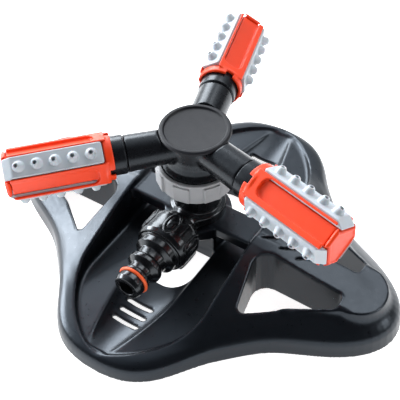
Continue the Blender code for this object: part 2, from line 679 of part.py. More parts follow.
def build_heads():
    for tag, (azimuth, roll) in enumerate(zip(ARM_AZIMUTHS, HEAD_ROLLS), start=1):
        arm = make_frame(f"arm_frame_{tag}", location=(0.0, 0.0, ARM_Z), rotation=(0.0, 0.0, azimuth))
        build_collar(tag, arm)
        build_head_seal(tag, arm)
        head = make_frame(f"head_frame_{tag}", arm, rotation=(-roll, 0.0, 0.0))
        build_head_body(tag, head)
        build_end_cap(tag, head)
        for letter, turn in zip("abc", (0.0, 120.0, 240.0)):
            build_strip(tag, head, letter, turn)


# ---------------------------------------------------------------- build
clear_scene()
PARTS = make_collection("garden_sprinkler")
CUTTERS = make_collection("cutters")
MATERIALS = {
    "base": make_material("base_black", (0.035, 0.039, 0.046), 0.42),
    "black": make_material("fitting_black", (0.018, 0.019, 0.021), 0.28),
    "orange": make_material("head_orange", (0.86, 0.085, 0.022), 0.38),
    "strip": make_material("strip_grey", (0.52, 0.57, 0.62), 0.45),
    "ring": make_material("ring_grey", (0.33, 0.34, 0.35), 0.45),
    "orange_seal": make_material("seal_orange", (0.83, 0.15, 0.04), 0.5),
    "rubber": make_material("seal_black", (0.012, 0.012, 0.012), 0.7),
    "natural": make_material("bearing_white", (0.78, 0.77, 0.72), 0.4),
    "steel": make_material("stainless_steel", (0.6, 0.6, 0.6), 0.3, 1.0),
}
build_base()
build_riser()
build_screws()
build_spindle_pieces()
build_lock_ring()
build_union_nut()
build_inlet_inner()
build_adapter()
build_rotor()
build_hub_cap()
build_heads()
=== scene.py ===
"""Looks of a rotary garden sprinkler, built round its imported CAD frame.

Each shaped piece is a distance field in millimetres, negative inside. A surface net turns it
into quads and moves every vertex onto the surface, so fillets and wall thicknesses are real
geometry. Plainly turned pieces are revolved from a profile with rounded corners.
"""

import math

import bpy
import numpy as np
from mathutils import Matrix, Vector


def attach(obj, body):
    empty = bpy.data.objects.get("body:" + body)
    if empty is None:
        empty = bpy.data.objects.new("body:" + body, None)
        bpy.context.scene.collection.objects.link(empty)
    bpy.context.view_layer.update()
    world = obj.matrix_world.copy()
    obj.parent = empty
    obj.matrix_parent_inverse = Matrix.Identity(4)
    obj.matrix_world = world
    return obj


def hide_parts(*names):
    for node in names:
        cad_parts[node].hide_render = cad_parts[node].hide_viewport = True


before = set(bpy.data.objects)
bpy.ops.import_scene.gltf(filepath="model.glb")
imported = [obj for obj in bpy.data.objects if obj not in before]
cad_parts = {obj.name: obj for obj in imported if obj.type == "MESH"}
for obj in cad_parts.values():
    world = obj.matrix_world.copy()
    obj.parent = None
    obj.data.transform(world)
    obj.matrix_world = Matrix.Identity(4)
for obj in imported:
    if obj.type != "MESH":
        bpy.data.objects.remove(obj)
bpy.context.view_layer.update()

MM = 0.001
ARM_Z = 88.8
ARM_AZIMUTHS = (346.5, 106.5, 226.5)
HEAD_ROLLS = (26.0, 29.5, 33.0)
INLET_Z = 33.0
WALL = 2.6
BAR_TOP = 33.0
VALLEY_FLOOR = 10.0
SCREW_PLACES = (-10.8, 10.8)
SHARP_DEGREES = 35             # edges of turned meshes and CAD nodes sharper than this stay sharp


# ---------------------------------------------------------------- fields
def smooth_max(a, b, k):
    """The larger of two fields, with the edge where they meet rounded over k."""
    blend = np.maximum(k - np.abs(a - b), 0.0) / k
    return np.maximum(a, b) + blend * blend * k * 0.25


def smooth_min(a, b, k):
    return -smooth_max(-a, -b, k)


def cut(a, b, k):
    """a without b, with a fillet along the cut."""
    return smooth_max(a, -b, k)


def smoothstep(value, start, span):
    share = np.clip((value - start) / span, 0.0, 1.0)
    return share * share * (3 - 2 * share)


def plan(x, y, polygon):
    """Signed distance in a plane to a closed polygon, negative inside."""
    x, y = np.broadcast_arrays(x, y)
    nearest = np.full(x.shape, 1e9, x.dtype)
    inside = np.zeros(x.shape, bool)
    points = [(float(px), float(py)) for px, py in polygon]
    for (px, py), (qx, qy) in zip(points, points[1:] + points[:1]):
        ex, ey = qx - px, qy - py
        length = ex * ex + ey * ey
        if length < 1e-12:
            continue
        wx, wy = x - px, y - py
        share = np.clip((wx * ex + wy * ey) / length, 0.0, 1.0)
        nearest = np.minimum(nearest, (wx - ex * share) ** 2 + (wy - ey * share) ** 2)
        if ey != 0.0:
            inside ^= ((py <= y) != (qy <= y)) & (wx < ex * wy / ey)
    return np.sqrt(nearest) * np.where(inside, -1.0, 1.0)


def block(x, y, z, low, high, k=0.8):
    """A box with rounded edges."""
    field = None
    for value, lo, hi in zip((x, y, z), low, high):
        side = np.abs(value - (lo + hi) / 2) - (hi - lo) / 2
        field = side if field is None else smooth_max(field, side, k)
    return field


def tube(radius_field, along, radius, low, high, k=0.6):
    """A solid cylinder with rounded rims."""
    return smooth_max(radius_field - radius, np.abs(along - (low + high) / 2) - (high - low) / 2, k)


def lathe(radius_field, along, profile):
    """A turned solid. Its profile, (radius, place along the axis), is closed or ends on the axis."""
    points = list(profile)
    if points[0][0] <= 0.0:
        past_axis = -9.0
        points = [(past_axis, points[0][1])] + points[1:-1] + [(past_axis, points[-1][1])]
    return plan(radius_field, along, points)


CORNERS = [(i, j, k) for i in (0, 1) for j in (0, 1) for k in (0, 1)]
EDGES = [(a, b) for a in range(8) for b in range(a + 1, 8)
         if sum(abs(p - q) for p, q in zip(CORNERS[a], CORNERS[b])) == 1]


def net(field, low, high, step):
    """The quads of field = 0 in a box, as (points, faces) in millimetres."""
    low = np.array(low, np.float32)
    counts = [int(math.ceil((hi - lo) / step)) + 1 for lo, hi in zip(low, high)]
    axes = [low[i] + step * np.arange(counts[i], dtype=np.float32) for i in range(3)]
    values = np.ascontiguousarray(
        np.broadcast_to(field(axes[0][:, None, None], axes[1][None, :, None], axes[2][None, None, :]),
                        counts), np.float32)
    solid = values < 0
    filled = np.zeros([n - 1 for n in counts], np.int8)
    for i, j, k in CORNERS:
        filled += solid[i:counts[0] - 1 + i, j:counts[1] - 1 + j, k:counts[2] - 1 + k]
    active = np.argwhere((filled > 0) & (filled < 8))
    index = np.full(filled.shape, -1, np.int32)
    index[tuple(active.T)] = np.arange(len(active))
    corner = [values[active[:, 0] + i, active[:, 1] + j, active[:, 2] + k].astype(np.float64)
              for i, j, k in CORNERS]
    total = np.zeros((len(active), 3))
    number = np.zeros(len(active))
    slope = np.zeros((len(active), 3))
    for a, b in EDGES:
        first, last = np.array(CORNERS[a], float), np.array(CORNERS[b], float)
        slope += (corner[b] - corner[a])[:, None] * (last - first) / (4 * step)
        crossed = (corner[a] < 0) != (corner[b] < 0)
        share = np.where(crossed, corner[a] / np.where(crossed, corner[a] - corner[b], 1.0), 0.0)
        total += np.where(crossed[:, None], first + (last - first) * share[:, None], 0.0)
        number += crossed
    start = low + active * step
    points = start + total / number[:, None] * step
    size = np.maximum((slope ** 2).sum(1), 0.05)
    for _ in range(2):
        off = field(points[:, 0], points[:, 1], points[:, 2])
        points = points - slope * (np.clip(off, -step, step) / size)[:, None]
    points = np.clip(points, start - 0.25 * step, start + 1.25 * step)
    faces = []
    for axis in range(3):
        u, v = (axis + 1) % 3, (axis + 2) % 3
        below = [slice(None)] * 3
        above = [slice(None)] * 3
        below[axis], above[axis] = slice(0, -1), slice(1, None)
        found = np.argwhere(solid[tuple(below)] != solid[tuple(above)])
        limit = np.array(filled.shape)
        found = found[(found[:, u] > 0) & (found[:, v] > 0)
                      & (found[:, u] < limit[u]) & (found[:, v] < limit[v])]
        eu, ev = np.eye(3, dtype=int)[u], np.eye(3, dtype=int)[v]
        ring = [found - eu - ev, found - ev, found, found - eu]
        quads = np.stack([index[tuple(c.T)] for c in ring], 1)
        outward = solid[tuple(found.T)]
        faces.append(np.where(outward[:, None], quads, quads[:, ::-1]))
    return points, np.concatenate(faces)


def mesh_from(name, points, faces):
    """A smooth-shaded mesh in metres from points in millimetres and lists of corners."""
    mesh = bpy.data.meshes.new(name)
    mesh.from_pydata((np.asarray(points) * MM).tolist(), [], faces)
    mesh.polygons.foreach_set("use_smooth", [True] * len(mesh.polygons))
    mesh.update()
    return mesh


def netted(name, field, low, high, step):
    points, faces = net(field, low, high, step)
    return mesh_from(name, points, faces.tolist())


def add_piece(name, mesh, material, body, node, matrix=None):
    """A piece in its place, on its body, standing for its CAD node."""
    if matrix is not None:
        mesh = mesh.copy()
        mesh.transform(matrix)
    piece = bpy.data.objects.new(name, mesh)
    bpy.context.scene.collection.objects.link(piece)
    if not mesh.materials:
        mesh.materials.append(material)
    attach(piece, body)
    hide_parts(node)
    return piece


def rounded(corners, steps=4):
    """A profile from (u, v, corner radius) entries with each corner turned into an arc."""
    outline = []
    count = len(corners)
    for i, (u, v, radius) in enumerate(corners):
        here = Vector((u, v))
        if radius <= 0.0:
            outline.append(here)
            continue
        before = Vector(corners[i - 1][:2]) - here
        after = Vector(corners[(i + 1) % count][:2]) - here
        half = before.angle(after) / 2
        reach = min(radius / math.tan(half), before.length * 0.49, after.length * 0.49)
        radius = reach * math.tan(half)
        before.normalize()
        after.normalize()
        middle = here + (before + after).normalized() * (radius / math.sin(half))
        first = here + before * reach - middle
        last = here + after * reach - middle
        for k in range(steps + 1):
            outline.append(middle + first.lerp(last, k / steps).normalized() * radius)
    return outline


def revolved(name, corners, sides=96, steps=4):
    """A turned mesh about local +X.

    The corners are (radius, along, fillet). They close in a loop or end on the axis.
    """
    outline = rounded(corners, steps)
    on_axis = corners[0][0] <= 0.0
    angles = np.linspace(0, 2 * np.pi, sides, endpoint=False)
    points, faces, rows = [], [], []
    for radius, along in outline:
        if radius <= 1e-6:
            rows.append([len(points)] * sides)
            points.append((along, 0.0, 0.0))
            continue
        rows.append(list(range(len(points), len(points) + sides)))
        points += [(along, radius * math.cos(a), radius * math.sin(a)) for a in angles]
    pairs = list(zip(rows, rows[1:] if on_axis else rows[1:] + rows[:1]))
    for here, after in pairs:
        for i in range(sides):
            j = (i + 1) % sides
            quad = [here[i], here[j], after[j], after[i]]
            faces.append([v for n, v in enumerate(quad) if v not in quad[:n]])
    area = sum(outline[i - 1].cross(outline[i]) for i in range(len(outline)))
    if area < 0:
        faces = [face[::-1] for face in faces]
    mesh = mesh_from(name, points, faces)
    mesh.set_sharp_from_angle(angle=math.radians(SHARP_DEGREES))
    return mesh


# ---------------------------------------------------------------- materials
def moulded(name, color, roughness, grain_size=0.5, grain_depth=0.004, mottle=0.08, specular=0.5,
            tint=(1.0, 1.0, 1.0), dust=0.0, subsurface=0.0):
    """Moulded plastic or rubber: fine surface grain, faint flow marks and a slightly uneven gloss."""
    material = bpy.data.materials.new(name)
    material.use_nodes = True
    tree = material.node_tree
    nodes, links = tree.nodes, tree.links
    shader = nodes["Principled BSDF"]
    shader.inputs["Specular IOR Level"].default_value = specular
    shader.inputs["Specular Tint"].default_value = (*tint, 1.0)
    if subsurface:
        shader.inputs["Subsurface Weight"].default_value = subsurface
        shader.inputs["Subsurface Scale"].default_value = 0.0015
    place = nodes.new("ShaderNodeTexCoord")

    def noise(size, detail, harshness):
        node = nodes.new("ShaderNodeTexNoise")
        node.inputs["Scale"].default_value = 1.0 / (size * MM)
        node.inputs["Detail"].default_value = detail
        node.inputs["Roughness"].default_value = harshness
        links.new(place.outputs["Object"], node.inputs["Vector"])
        return node.outputs["Fac"]

    def spread(value, low, high):
        node = nodes.new("ShaderNodeMapRange")
        node.inputs["From Min"].default_value = 0.3
        node.inputs["From Max"].default_value = 0.7
        node.inputs["To Min"].default_value = low
        node.inputs["To Max"].default_value = high
        links.new(value, node.inputs["Value"])
        return node.outputs["Result"]

    patches = noise(16.0, 3.0, 0.55)
    streaks = noise(3.0, 4.0, 0.6)
    fine = noise(grain_size, 2.0, 0.5)
    shade = nodes.new("ShaderNodeMix")
    shade.data_type = "RGBA"
    darker = [c * (1 - mottle) for c in color]
    lighter = [min(1.0, c * (1 + mottle) + dust) for c in color]
    shade.inputs[6].default_value = (*darker, 1.0)
    shade.inputs[7].default_value = (*lighter, 1.0)
    links.new(spread(patches, 0.0, 1.0), shade.inputs[0])
    links.new(shade.outputs[2], shader.inputs["Base Color"])
    links.new(spread(streaks, roughness * 0.9, roughness * 1.12), shader.inputs["Roughness"])
    bump = nodes.new("ShaderNodeBump")
    bump.inputs["Strength"].default_value = 1.0
    bump.inputs["Distance"].default_value = grain_depth * MM
    links.new(fine, bump.inputs["Height"])
    links.new(bump.outputs["Normal"], shader.inputs["Normal"])
    return material


def brushed(name, color, roughness):
    """Turned stainless steel."""
    material = moulded(name, color, roughness, grain_size=0.25, grain_depth=0.002, mottle=0.05)
    material.node_tree.nodes["Principled BSDF"].inputs["Metallic"].default_value = 1.0
    return material


BASE = moulded("base_satin_black", (0.0036, 0.0044, 0.0062), 0.30, grain_size=0.7, grain_depth=0.006,
               specular=0.38, tint=(0.74, 0.86, 1.0), dust=0.0008)
BLACK = moulded("fitting_black", (0.0040, 0.0042, 0.0050), 0.22, grain_size=0.6, grain_depth=0.003,
                tint=(0.88, 0.94, 1.0))
TUBE = moulded("tube_black", (0.0050, 0.0053, 0.0065), 0.28, grain_size=0.5, grain_depth=0.004,
               specular=0.32, tint=(0.82, 0.91, 1.0))
DISC = moulded("cap_matt_black", (0.009, 0.0095, 0.0125), 0.5, grain_size=0.35, grain_depth=0.01,
              specular=0.22)
ORANGE = moulded("head_orange", (0.74, 0.044, 0.005), 0.42, grain_size=0.8, grain_depth=0.003, mottle=0.05,
                 specular=0.38, subsurface=0.05)
GREY = moulded("strip_pale_grey", (0.41, 0.44, 0.475), 0.42, grain_size=0.6, grain_depth=0.004, mottle=0.04,
               subsurface=0.15)
RING = moulded("ring_grey", (0.31, 0.315, 0.325), 0.42, grain_size=0.5, grain_depth=0.006, mottle=0.05)
SEAL_ORANGE = moulded("seal_orange", (0.85, 0.11, 0.02), 0.45, grain_size=0.4, grain_depth=0.004)
RUBBER = moulded("seal_black", (0.01, 0.01, 0.01), 0.65, grain_size=0.3, grain_depth=0.006)
NATURAL = moulded("bearing_white", (0.72, 0.71, 0.66), 0.4, grain_size=0.6, grain_depth=0.003)
STEEL = brushed("stainless_steel", (0.62, 0.62, 0.62), 0.28)


# ---------------------------------------------------------------- base
LOBE_MEAN = 107.4              # the ground outline: its mean radius and the waves round it
LOBE_HARMONICS = (7.0, 17.6, 4.1, 1.7, 1.0, -0.5)
SKIRT_KNOTS = ((-9.0, 0.0), (1.0, 0.0), (10.0, 1.5), (13.0, 3.4), (16.0, 7.4), (20.0, 14.2), (24.0, 22.2),
               (28.5, 31.6), (37.0, 48.0), (60.0, 90.0))   # (height, distance inside the outline)
SKIRT_HEIGHTS = np.linspace(-9.0, 60.0, 277)
SKIRT_ROUNDING = 15            # samples each bend of the skirt is spread over
LOBE_STEEPENING = 0.27         # how much steeper the skirt gets towards the tip of the right lobe
CROWN_FLOOR, CROWN_RISE, CROWN_FALL = 12.0, 26.0, 11.0
RIDGE_TOP, RIDGE_START, RIDGE_LENGTH = 34.3, 45.0, 83.5
RIDGE_DROP_RIGHT, RIDGE_DROP_LEFT = 8.8, 17.0
WING_START, WING_FALL = 17.0, 0.55
TROUGH_HALF, TROUGH_DEPTH = 18.0, 5.5
DRAIN_SLOTS = (65.0, 72.5, 80.0)
RIDGE_SLOTS = (48.3, 60.4, 71.6)
SLOT_RUN, SLOT_RISE, SLOT_OFFSET = 7.5, 5.4, 3.4


def smoothed_skirt():
    """The skirt's inset at each height with its bends rounded off, and the slope factor of each."""
    insets = np.interp(SKIRT_HEIGHTS, *zip(*SKIRT_KNOTS))
    window = np.hanning(SKIRT_ROUNDING)
    padded = np.pad(insets, SKIRT_ROUNDING // 2, mode="edge")
    insets = np.convolve(padded, window / window.sum(), mode="valid")
    slope = np.gradient(insets, SKIRT_HEIGHTS)
    return insets, 1 / np.sqrt(1 + slope ** 2)


SKIRT_INSETS, SKIRT_STEEPNESS = smoothed_skirt()


def outline_point(degrees):
    """A point of the ground outline, which is the same on all four quarters."""
    angle = math.radians(degrees)
    radius = LOBE_MEAN + sum(wave * math.cos(2 * (k + 1) * angle)
                             for k, wave in enumerate(LOBE_HARMONICS))
    return radius * math.cos(angle), radius * math.sin(angle)


def valley_outline():
    """The valley's plan: straight sides that close in a blunt arch towards the rim."""
    half, straight, tip = 43.0, 58.0, 110.0
    points = []
    for i in range(17):
        y = straight + (tip - straight) * math.sin(i / 16 * math.pi / 2)
        share = (y - straight) / (tip - straight)
        points.append((half * max(0.0, 1 - share ** 1.8) ** 0.75, y))
    right = [(half, -30.0)] + points
    return right + [(-x, y) for x, y in reversed(right[:-1])]


OUTLINE = [outline_point(a) for a in range(-24, 115, 2)] + [(-90.0, -90.0)]
VALLEY = valley_outline()
WINDOW = rounded([(49.0, 9.0, 10.0), (106.0, 9.5, 3.0), (106.5, 19.0, 4.0), (80.0, 32.0, 25.0),
                  (57.5, 49.0, 3.0)], 6)
OPENING = rounded([(-16.5, 8.0, 1.0), (-16.5, 45.0, 14.0), (16.5, 45.0, 14.0), (16.5, 8.0, 1.0)], 8)
RIDGE = ([(-20.0, 10.5), (90.0, 10.5), (76.0, 33.0), (85.0, 32.5), (96.0, 25.5)]
         + [(109.0 + 19.5 * math.cos(math.radians(a)), 19.5 * math.sin(math.radians(a)))
            for a in range(88, -89, -8)]
         + [(96.0, -25.5), (85.0, -32.5), (76.0, -33.0), (90.0, -10.5), (-20.0, -10.5)])


def skirt_field(x, ax, ay, z):
    """The outer skirt under a crown that falls away towards the rim and along the lobes."""
    inset = np.interp(z, SKIRT_HEIGHTS, SKIRT_INSETS)
    steeper = 1 - LOBE_STEEPENING * smoothstep(x, 62.0, 45.0)
    skirt = (inset + plan(ax, ay, OUTLINE) / steeper) * np.interp(z, SKIRT_HEIGHTS, SKIRT_STEEPNESS)
    rise = CROWN_RISE - CROWN_FALL * smoothstep(ax, 43.0, 50.0)
    crown = CROWN_FLOOR + rise / (1 + np.exp((ay - 62.0) / 9.0))
    return smooth_max(skirt, (z - crown) * 0.86, 7.0)


def ridge_field(x, y, ax, ay, z):
    """The raised strip along both lobes, with its wings beside the windows."""
    side = plan(ax, y, RIDGE) + 0.14 * (z - 24.0)
    along = np.clip((ax - RIDGE_START) / RIDGE_LENGTH, 0.0, 1.0)
    drop = np.where(x > 0, RIDGE_DROP_RIGHT, RIDGE_DROP_LEFT)
    wing = WING_FALL * np.maximum(ay - WING_START, 0.0)
    return smooth_max(side, z - (RIDGE_TOP - drop * along - wing), 0.9)


def hollow_field(ax, ay, z):
    """What is taken out from above: the wide valley and the narrowing trough along its floor."""
    side = plan(ax, ay, VALLEY) - 0.03 * (z - 13.0)
    valley = smooth_max(side, VALLEY_FLOOR - z, 3.0)
    taper = np.clip((ay - 56.0) / 50.0, 0.0, 1.0)
    half = TROUGH_HALF * (1 - 0.62 * taper ** 1.4)
    depth = TROUGH_DEPTH * (1 - 0.85 * taper ** 3)
    trough = (np.sqrt((ax / half) ** 2 + ((z - VALLEY_FLOOR) / depth) ** 2) - 1) * depth
    trough = smooth_max(trough, ay - 106.0, 1.0)
    return smooth_min(valley, trough, 0.8)


def cross_bar_field(x, y, z, radius):
    """The bar under the riser with its boss, the cup below it and the pillar to the ground."""
    bar = block(x, y, z, (-46.0, -9.8, 25.5), (46.0, 9.8, BAR_TOP + 0.6), 1.2)
    boss = tube(radius, z, 21.0, 24.0, 32.6, 1.2)
    cup = tube(radius, z, 18.4, 20.7, 30.0, 1.0)
    pillar = block(x, y, z, (-17.3, -8.7, -3.0), (17.3, 8.7, 22.0), 1.5)
    return smooth_min(smooth_min(bar, boss, 1.5), smooth_min(cup, pillar, 1.0), 1.0)


def slotted(shell, x, y, z):
    """The drain slots of the trough, the slanted slots of the ridge and the screw holes."""
    ax, ay = np.abs(x), np.abs(y)
    for place in DRAIN_SLOTS:
        slot = np.hypot(np.maximum(ax - 7.9, 0.0), ay - place) - 1.55
        shell = cut(shell, smooth_max(slot, z - 15.0, 0.5), 0.5)
    across = y * np.where(x > 0, 1.0, -1.0) + SLOT_OFFSET
    for place in RIDGE_SLOTS:
        share = ((ax - place) * SLOT_RUN + across * SLOT_RISE) / (SLOT_RUN ** 2 + SLOT_RISE ** 2)
        share = np.clip(share, 0.0, 1.0)
        slot = np.hypot(ax - place - SLOT_RUN * share, across - SLOT_RISE * share) - 0.6
        shell = cut(shell, smooth_max(slot, 20.0 - z, 0.3), 0.3)
    for place in SCREW_PLACES:
        shell = cut(shell, np.hypot(x - place, y) - 1.9, 0.3)
    return shell


def base_field(x, y, z):
    ax, ay = np.abs(x), np.abs(y)
    body = smooth_min(skirt_field(x, ax, ay, z), ridge_field(x, y, ax, ay, z), 3.0)
    body = cut(body, hollow_field(ax, ay, z), 1.6)
    body = cut(body, plan(ax, ay, WINDOW), 1.4)
    body = cut(body, smooth_max(plan(x, ay, OPENING), z - 16.0, 0.5), 1.0)
    shell = smooth_max(body, -(body + WALL), 0.8)

    radius = np.hypot(x, y)
    shell = smooth_min(shell, cross_bar_field(x, y, z, radius), 2.0)
    inside_pillar = block(x, y, z, (-14.7, -6.1, -9.0), (14.7, 6.1, 20.9), 0.8)
    riser_seat = tube(radius, z, 15.8, 23.5, 60.0, 0.4)
    inlet_pipe = smooth_max(np.hypot(x, z - INLET_Z) - 10.3, y + 12.7, 0.4)
    shell = cut(shell, inside_pillar, 0.5)
    shell = cut(shell, riser_seat, 0.6)
    shell = cut(shell, inlet_pipe, 0.5)
    return np.maximum(slotted(shell, x, y, z), -z)


def build_base():
    mesh = netted("base_look", base_field, (-139.0, -116.0, -1.2), (139.0, 116.0, 39.5), 0.9)
    add_piece("base_look", mesh, BASE, "base", "base_shell")


# ---------------------------------------------------------------- riser and inlet
def riser_field(x, y, z):
    radius = np.hypot(x, y)
    column = lathe(radius, z, [
        (0.0, 82.6), (9.5, 82.6), (9.5, 72.6), (11.0, 72.6), (11.0, 65.6), (22.2, 65.6), (22.2, 61.6),
        (20.6, 60.8), (14.5, 56.6), (14.5, 41.0), (17.0, 39.6), (17.4, 38.6), (17.4, 33.3), (15.4, 33.3),
        (15.4, 23.8), (0.0, 23.8)])
    side = np.hypot(x, z - INLET_Z)
    pipe = lathe(side, -y, [(0.0, 10.0), (10.0, 10.0), (10.0, 23.3), (13.5, 23.6), (13.5, 26.0),
                            (0.0, 26.0)])
    solid = smooth_min(column, pipe, 2.5)
    solid = cut(solid, smooth_max(side - 6.4, y, 0.3), 0.3)
    solid = cut(solid, smooth_max(radius - 7.4, 31.4 - z, 0.3), 0.3)
    for place in SCREW_PLACES:
        solid = cut(solid, smooth_max(np.hypot(x - place, y) - 1.7, z - 35.0, 0.3), 0.3)
    return solid


RING_PANELS = 8
GRIP_PADS = 6
GRIP_RADIUS = 17.0


def from_nearest(angle, count):
    """The angle to the nearest of count directions spread evenly round the axis."""
    turn = 2 * np.pi / count
    return angle - np.round(angle / turn) * turn


def ring_field(x, y, z):
    radius = np.hypot(x, y)
    ring = lathe(radius, z, [(21.1, 74.2), (22.8, 74.2), (23.3, 73.6), (23.3, 60.4), (22.6, 60.4),
                             (22.6, 71.7), (21.1, 71.7)])
    off = from_nearest(np.arctan2(y, x) - math.radians(11.0), RING_PANELS)
    across = np.abs(radius * np.sin(off)) - 5.2
    panel = smooth_max(radius * np.cos(off) - 24.25, 22.9 - radius, 0.4)
    panel = smooth_max(panel, np.abs(z - 66.8) - 5.7, 0.7)
    panel = smooth_max(panel, across, 0.7)
    return smooth_min(ring, panel, 0.4)


def nut_field(x, y, z):
    radius = np.hypot(x, z - INLET_Z)
    along = -y
    body = lathe(radius, along, [
        (10.4, 20.0), (12.6, 20.0), (13.6, 20.4), (16.2, 24.0), (17.0, 25.4), (17.3, 28.0), (17.3, 36.0),
        (17.0, 39.4), (16.2, 41.2), (15.6, 42.0), (14.9, 42.0), (14.9, 23.2), (10.4, 23.2)])
    angle = np.arctan2(x, z - INLET_Z) - math.radians(12.0)
    off = from_nearest(angle, GRIP_PADS)
    oval = (np.sqrt((GRIP_RADIUS * off / 3.6) ** 2 + ((along - 31.8) / 7.0) ** 2) - 1) * 3.6
    rim = smooth_max(np.abs(oval) - 0.5, np.abs(radius - 17.2) - 0.75, 0.5)
    dome = smooth_max(oval + 1.0, radius - 18.3 + 0.16 * np.maximum(oval + 3.6, 0.0) ** 1.6, 0.5)
    dome = smooth_max(dome, 16.0 - radius, 0.3)
    body = cut(body, smooth_max(oval, 17.0 - radius, 0.2), 0.2)
    body = smooth_min(body, np.minimum(rim, dome), 0.2)
    between = GRIP_RADIUS * (angle - np.pi / GRIP_PADS)
    line = np.maximum(np.abs(between) - 0.25, np.abs(along - 29.0) - 4.6)
    hole = np.hypot(between, along - 34.2) - 1.0
    return cut(body, smooth_max(np.minimum(line, hole), 16.4 - radius, 0.2), 0.2)


def toward_inlet():
    """Local +X to world -Y, at the inlet's height."""
    return Matrix.Translation(Vector((0.0, 0.0, INLET_Z * MM))) @ Matrix.Rotation(math.radians(-90), 4, "Z")


def upward():
    """Local +X to world +Z."""
    return Matrix.Rotation(math.radians(-90), 4, "Y")


def build_inlet():
    riser = netted("riser_look", riser_field, (-23.4, -27.2, 22.6), (23.4, 23.4, 83.8), 0.6)
    add_piece("riser_look", riser, BLACK, "base", "riser_body")
    ring = netted("lock_ring_look", ring_field, (-26.0, -26.0, 59.5), (26.0, 26.0, 75.2), 0.5)
    add_piece("lock_ring_look", ring, RING, "base", "lock_ring")
    nut = netted("union_nut_look", nut_field, (-20.0, -43.2, 13.0), (20.0, -18.8, 53.0), 0.4)
    add_piece("union_nut_look", nut, BLACK, "inlet_nut", "union_nut")
    adapter = revolved("adapter_look", [
        (5.0, 29.6, 0), (14.6, 29.6, 0), (14.6, 42.4, 0.5), (13.4, 43.0, 0.5), (13.4, 47.2, 0.9),
        (10.0, 49.2, 1.2), (9.7, 54.0, 1.5), (11.2, 55.6, 0.8), (11.2, 58.2, 0.8), (8.1, 60.6, 1.4),
        (8.1, 64.0, 1.0), (8.9, 65.0, 0.4), (8.9, 66.6, 0.3), (7.3, 66.6, 0.2), (7.3, 69.4, 0.2),
        (8.9, 69.4, 0.3), (8.9, 72.6, 1.0), (7.9, 75.3, 0.5), (5.0, 75.5, 0.5)])
    add_piece("adapter_look", adapter, BLACK, "base", "hose_adapter", toward_inlet())
    seal = revolved("adapter_seal_look", [(7.6, 67.0, 1.0), (9.8, 67.0, 1.0), (9.8, 69.0, 1.0),
                                          (7.6, 69.0, 1.0)], steps=6)
    add_piece("adapter_seal_look", seal, SEAL_ORANGE, "base", "adapter_o_ring",
              toward_inlet())


# ---------------------------------------------------------------- rotor
def rotor_field(x, y, z):
    radius = np.hypot(x, y)
    solid = lathe(radius, z, [
        (0.0, 96.3), (16.8, 96.3), (16.8, 84.6), (17.2, 80.6), (18.4, 77.2), (20.2, 75.0), (20.6, 74.2),
        (20.6, 71.4), (22.2, 71.4), (22.2, 67.2), (0.0, 67.2)])
    bore = None
    for azimuth in ARM_AZIMUTHS:
        c, s = math.cos(math.radians(azimuth)), math.sin(math.radians(azimuth))
        along = x * c + y * s
        off = np.hypot(y * c - x * s, z - ARM_Z)
        arm_radius = 9.9 + 0.022 * np.clip(along, 0.0, 40.8)
        arm = smooth_max(off - arm_radius, np.abs(along - 20.9) - 19.9, 0.8)
        spigot = smooth_max(off - 7.6, np.abs(along - 40.0) - 22.2, 0.8)
        solid = smooth_min(solid, smooth_min(arm, spigot, 0.3), 1.4)
        way = np.maximum(off - 5.2, 6.0 - along)
        bore = way if bore is None else np.minimum(bore, way)
    solid = cut(solid, bore, 0.4)
    for bore_radius, low, high in ((13.5, 79.1, 110.0), (11.2, 76.8, 80.6), (13.3, 60.0, 76.9),
                                   (21.6, 96.3, 120.0)):
        solid = cut(solid, tube(radius, z, bore_radius, low, high, 0.4), 0.4)
    return solid


def build_rotor():
    rotor = netted("rotor_look", rotor_field, (-46.0, -47.0, 66.2), (62.0, 61.5, 101.2), 0.6)
    add_piece("rotor_look", rotor, TUBE, "rotor", "rotor_hub")
    cap = revolved("hub_cap_look", [
        (0.0, 97.9, 0), (17.8, 97.9, 0.3), (18.3, 98.8, 0.3), (18.7, 99.0, 0.3), (20.0, 99.0, 0.5),
        (21.1, 98.2, 0.6), (21.1, 97.1, 0.5), (20.6, 96.6, 0.3), (13.2, 96.6, 0), (13.2, 94.8, 0.3),
        (11.2, 94.8, 0.3), (11.2, 96.8, 0), (0.0, 96.8, 0)], sides=128)
    add_piece("hub_cap_look", cap, DISC, "rotor", "hub_cap", upward())
    collar = revolved("arm_collar_look", [
        (7.9, 41.1, 0.2), (10.6, 41.1, 0.3), (11.4, 42.0, 0.5), (11.5, 52.2, 0.4), (7.9, 52.3, 0.2)])
    for tag, azimuth in enumerate(ARM_AZIMUTHS, start=1):
        add_piece(f"arm_collar_look_{tag}", collar, TUBE, "rotor", f"arm_collar_{tag}",
                  arm_matrix(azimuth))


def arm_matrix(azimuth, roll=0.0, turn=0.0):
    """Local +X along the arm; roll turns a whole head about it and turn one of its strips."""
    return (Matrix.Translation(Vector((0.0, 0.0, ARM_Z * MM)))
            @ Matrix.Rotation(math.radians(azimuth), 4, "Z")
            @ Matrix.Rotation(math.radians(turn - roll), 4, "X"))


# ---------------------------------------------------------------- spray heads
def head_section():
    """The head across its axis: three flat-bottomed channels for the strips, one each 120 degrees."""
    lip = [(-7.1, 13.6), (-6.4, 13.2), (-6.4, 10.2), (6.4, 10.2), (6.4, 13.2), (7.1, 13.6)]
    section = []
    for k in range(3):
        turn = Matrix.Rotation(math.radians(-120 * k), 2)
        section += [tuple(turn @ Vector(point)) for point in lip]
    return section


